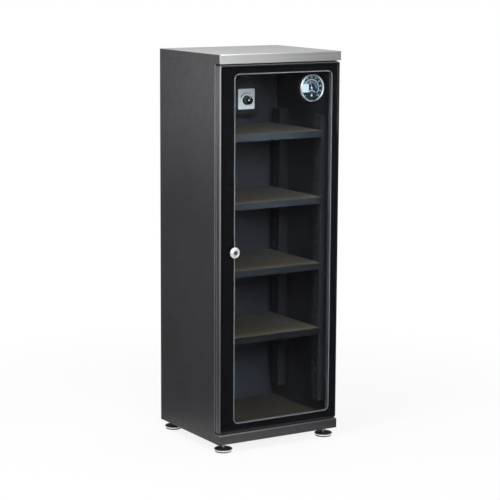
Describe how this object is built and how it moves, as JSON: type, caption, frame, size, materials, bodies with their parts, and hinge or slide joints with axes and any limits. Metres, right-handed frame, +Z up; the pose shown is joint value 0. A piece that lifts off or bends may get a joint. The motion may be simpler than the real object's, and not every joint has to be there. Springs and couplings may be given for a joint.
{
  "type": "camera dry cabinet",
  "caption": "Tall steel dry cabinet for cameras with a framed glass door on pin hinges, adjustable shelves, a drying unit, a dial hygrometer, a key lock and levelling feet.",
  "frame": {"origin": "middle of the footprint at ground level, with the foot bases on Z = 0", "axes": "+X to the right seen from the front, +Y from the door to the back panel, +Z up"},
  "size_m": [0.43, 0.379, 1.2155],
  "materials": {
    "body_paint": "fine textured black powder coat",
    "brushed_cover": "brushed silver sheet with a clear coat",
    "plated_steel": "zinc plated",
    "shelf_paint": "satin blue-grey paint",
    "mat": "short olive-brown pile on a thin backing",
    "glass": "clear tempered",
    "border_print": "black print behind the glass",
    "silver_print": "silver print behind the glass",
    "rubber": "matt black",
    "chrome": "polished",
    "black_plastic": "fine grained",
    "gloss_black": "smooth",
    "pale_plate": "printed pale plate",
    "red_lens": "clear red",
    "desiccant": "perforated cartridge",
    "heater": "plain",
    "board": "solder mask",
    "nylon": "natural nylon",
    "needle": "white painted",
    "dial": "matt black with pale print"
  },
  "bodies": {
    "cabinet": {"side_panel_left": "body_paint", "side_panel_right": "body_paint", "back_panel": "body_paint", "ceiling_panel": "body_paint", "floor_panel": "body_paint", "top_cover": "brushed_cover", "plinth_fascia": "body_paint", "base_pan": "body_paint", "back_screws": "plated_steel", "strike_plate": "plated_steel", "hinge_pins": "plated_steel", "hinge_washer": "nylon", "upright_front_left": "body_paint", "upright_front_right": "body_paint", "upright_rear_left": "body_paint", "upright_rear_right": "body_paint", "shelf_1": "shelf_paint", "shelf_2": "shelf_paint", "shelf_3": "shelf_paint", "shelf_4": "shelf_paint", "shelf_clips": "plated_steel", "shelf_mats": "mat", "floor_mat": "mat", "unit_housing": "black_plastic", "desiccant_cartridge": "desiccant", "heater_plate": "heater", "circuit_board": "board", "control_plate": "pale_plate", "humidity_dial_body": "black_plastic", "indicator_lens": "red_lens", "rear_vent": "black_plastic", "power_inlet": "black_plastic", "foot_nuts": "plated_steel"},
    "door": {"door_frame": "body_paint", "door_glass": "glass", "glass_border": "border_print", "silver_line": "silver_print", "glass_tape": "rubber", "door_seal": "rubber", "hinge_bushes": "nylon", "lock_body": "chrome", "lock_nut": "plated_steel", "meter_rim": "chrome", "meter_lens": "glass", "meter_dial": "dial", "meter_case": "black_plastic"},
    "key_lock": {"lock_plug": "chrome", "lock_cam": "plated_steel", "cam_screw": "plated_steel"},
    "humidity_pointer": {"humidity_needle": "needle"},
    "thermometer_pointer": {"thermometer_needle": "needle"},
    "knob": {"humidity_knob": "gloss_black"},
    "foot_front_left": {"foot_base_front_left": "rubber", "foot_stem_front_left": "plated_steel"},
    "foot_front_right": {"foot_base_front_right": "rubber", "foot_stem_front_right": "plated_steel"},
    "foot_rear_left": {"foot_base_rear_left": "rubber", "foot_stem_rear_left": "plated_steel"},
    "foot_rear_right": {"foot_base_rear_right": "rubber", "foot_stem_rear_right": "plated_steel"}
  },
  "joints": [
    {"name": "door_hinge", "type": "hinge", "parent": "cabinet", "child": "door", "pos_m": [0.202, -0.1714, 0.6225], "axis": [0, 0, 1], "range_deg": [0, 180]},
    {"name": "lock_turn", "type": "hinge", "parent": "door", "child": "key_lock", "pos_m": [-0.1614, -0.183, 0.62], "axis": [0, 1, 0], "range_deg": [0, 90]},
    {"name": "humidity_pointer_swing", "type": "hinge", "parent": "door", "child": "humidity_pointer", "pos_m": [0.1145, -0.1717, 1.1055], "axis": [0, 1, 0], "range_deg": [-120, 150], "stiffness_Nm_per_rad": 0.002},
    {"name": "thermometer_pointer_swing", "type": "hinge", "parent": "door", "child": "thermometer_pointer", "pos_m": [0.1145, -0.1717, 1.0825], "axis": [0, 1, 0], "range_deg": [-60, 60], "stiffness_Nm_per_rad": 0.0005},
    {"name": "knob_turn", "type": "hinge", "parent": "cabinet", "child": "knob", "pos_m": [0.0685, 0.1375, 1.047], "axis": [0, 1, 0], "range_deg": [-150, 150]},
    {"name": "foot_front_left_screw", "type": "slide", "parent": "cabinet", "child": "foot_front_left", "axis": [0, 0, -1], "range_m": [0, 0.012]},
    {"name": "foot_front_right_screw", "type": "slide", "parent": "cabinet", "child": "foot_front_right", "axis": [0, 0, -1], "range_m": [0, 0.012]},
    {"name": "foot_rear_left_screw", "type": "slide", "parent": "cabinet", "child": "foot_rear_left", "axis": [0, 0, -1], "range_m": [0, 0.012]},
    {"name": "foot_rear_right_screw", "type": "slide", "parent": "cabinet", "child": "foot_rear_right", "axis": [0, 0, -1], "range_m": [0, 0.012]}
  ]
}
